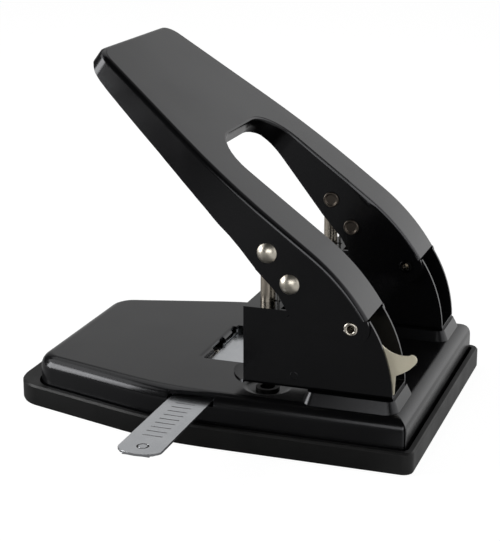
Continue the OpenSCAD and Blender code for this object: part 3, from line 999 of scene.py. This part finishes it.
@dataclass
class PunchUnit(SubAssembly):
    """One bracket with its punch, clip, return spring and pivot pin.

    Lengths are in millimetres.
    """

    side: Side = Side.RIGHT
    axis_y: float = 40.0
    wire_r: float = 0.45
    coil_r: float = 3.9
    coil_low: float = 25.1
    coil_high: float = 50.1
    tail_high: float = 56.6
    tail_lap: float = 0.3
    tail_points: int = 7
    turns: int = 9
    stroke: float = 11.4
    points_per_turn: int = 28
    sheet: EdgeFinish = EdgeFinish(bevel_mm=0.22, segments=2, sharp_deg=30.0)
    turned: EdgeFinish = EdgeFinish(bevel_mm=0.1, segments=2, sharp_deg=30.0)

    def coil_path(self) -> list[Vector]:
        """Finds the centreline of the coil.

        Returns:
            Points along the wire, in metres.
        """
        count = self.turns * self.points_per_turn
        path = []
        for i in range(count + 1):
            angle = 2 * math.pi * i / self.points_per_turn
            rise = self.coil_low + (self.coil_high - self.coil_low) * i / count
            path.append(
                Vector(
                    (
                        self.coil_r * math.cos(angle),
                        self.side.sign * (self.axis_y + self.coil_r * math.sin(angle)),
                        rise,
                    )
                )
                * MM
            )
        return path

    def build_spring(self) -> None:
        """Builds the coil and the tail that rides on its punch."""
        word = self.side.word
        coil = mesh_object(
            f"spring_coil_{word}", lambda bm: sweep(bm, self.coil_path(), self.wire_r * MM)
        )
        coil.data.materials.append(self.finishes.wire)
        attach(coil, "base")
        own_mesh(coil)
        y = self.side.sign * self.axis_y
        foot, last = self.coil_high - self.tail_lap, self.tail_points - 1
        heights = [
            foot + (self.tail_high - self.coil_high) * i / last for i in range(self.tail_points)
        ]
        tail = mesh_object(
            f"spring_tail_{word}",
            lambda bm: sweep(
                bm, [Vector((self.coil_r, y, z)) * MM for z in heights], self.wire_r * MM
            ),
        )
        tail.data.materials.append(self.finishes.wire)
        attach(tail, f"{word}_plunger")
        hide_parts(f"return_spring_{word}")
        LOG.info("built the return spring on the %s", word)

    def build(self) -> None:
        """Dresses the bracket, punch, clip and pivot pin, and builds the spring."""
        word = self.side.word
        dress(self.nodes[f"bracket_{word}"], self.finishes.enamel, self.sheet)
        dress(self.nodes[f"punch_{word}"], self.finishes.ground, self.turned)
        dress(self.nodes[f"clip_{word}"], self.finishes.wire, self.turned)
        # the pivot pin's inner end, between the arms, is darkened as painted shade
        dress(self.nodes[f"pivot_pin_{word}"], self.finishes.shade_darkened_end, EdgeFinish(bevel_mm=0.0))
        self.build_spring()


@dataclass
class Lever(SubAssembly):
    """Folded handle with its four cross pins."""

    fold: EdgeFinish = EdgeFinish(bevel_mm=0.3, segments=3, sharp_deg=30.0, weld_mm=0.05)
    pin: EdgeFinish = EdgeFinish(bevel_mm=0.08, segments=2, sharp_deg=40.0, flat_faces=False)

    def build(self) -> None:
        """Dresses the handle and its pins."""
        dress(self.nodes["handle"], self.finishes.enamel, self.fold)
        for side in Side:
            for kind in ("press_pin", "stop_pin"):
                # each pin's inner end, between the arms, is darkened as painted shade
                dress(self.nodes[f"{kind}_{side.word}"], self.finishes.peened_end, self.pin)


@dataclass
class Lock(SubAssembly):
    """Lock lever and its rivet."""

    stamped: EdgeFinish = EdgeFinish(bevel_mm=0.15, segments=3, sharp_deg=30.0)

    def build(self) -> None:
        """Dresses the lever and the rivet."""
        dress(self.nodes["lock_latch"], self.finishes.tumbled, self.stamped)
        dress(self.nodes["latch_rivet"], self.finishes.enamel, self.stamped)


@dataclass
class PaperGuide(SubAssembly):
    """Sliding ruler with its inked marks, channel and leaf spring.

    Lengths are in millimetres, and mark_x and ring_at start from the ruler's centre and tip.
    """

    centre_x: float = -24.6
    tip_y: float = -106.5
    mark_floor: float = 16.4
    first_mark: float = 15.8
    pitch: float = 3.85
    marks: int = 9
    mark_x: tuple[float, float] = (-3.9, 3.6)
    mark_w: float = 0.5
    ring_at: tuple[float, float] = (0.2, 6.8)
    ring_r: tuple[float, float] = (1.6, 2.2)
    ring_points: int = 40
    ring_drop: float = 0.05
    ink_t: float = 0.06
    ink_bevel: float = 0.02
    stamped: EdgeFinish = EdgeFinish(bevel_mm=0.1, segments=2, sharp_deg=30.0)

    def fill_ink(self, bm: bmesh.types.BMesh) -> None:
        """Draws the ink in the nine marks and the ring.

        Args:
            bm: the mesh to draw into.
        """
        for i in range(self.marks):
            y = self.tip_y + self.first_mark + i * self.pitch
            bevel_box(
                bm,
                (self.centre_x + self.mark_x[0], y, self.mark_floor),
                (self.centre_x + self.mark_x[1], y + self.mark_w, self.mark_floor + self.ink_t),
                self.ink_bevel,
            )
        inner, outer = self.ring_r
        rows = []
        for r, z in ((inner, 0.0), (inner, self.ink_t), (outer, self.ink_t), (outer, 0.0)):
            rows.append(
                [
                    bm.verts.new(
                        Vector(
                            (
                                self.centre_x + self.ring_at[0] + r * math.cos(a),
                                self.tip_y + self.ring_at[1] + r * math.sin(a),
                                self.mark_floor - self.ring_drop + z,
                            )
                        )
                        * MM
                    )
                    for a in (2 * math.pi * k / self.ring_points for k in range(self.ring_points))
                ]
            )
        for first, second in zip(rows, rows[1:] + rows[:1]):
            for k in range(self.ring_points):
                n = (k + 1) % self.ring_points
                bm.faces.new((first[k], first[n], second[n], second[k]))

    def build(self) -> None:
        """Dresses the ruler, channel and leaf, and lays the ink in the marks."""
        dress(self.nodes["ruler"], self.finishes.linished, self.stamped)
        dress(self.nodes["ruler_guide"], self.finishes.zinc, self.stamped)
        dress(self.nodes["ruler_spring"], self.finishes.nickel, self.stamped)
        ink = mesh_object("ruler_marks", self.fill_ink)
        ink.data.materials.append(self.finishes.ink)
        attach(ink, "scale")
        LOG.info("built the ruler's marks")


# ---------------------------------------------------------------------------- main


def main() -> None:
    """Builds the studio and every sub-assembly in order."""
    logging.basicConfig(level=logging.INFO)
    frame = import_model()
    bpy.context.scene.view_settings.view_transform = "Standard"
    Studio().build()
    finishes = Finishes()
    nodes = frame["nodes"]
    Base(nodes, finishes).build()
    for side in Side:
        PunchUnit(nodes, finishes, side=side).build()
    Lever(nodes, finishes).build()
    Lock(nodes, finishes).build()
    PaperGuide(nodes, finishes).build()


if __name__ == "__main__":
    main()
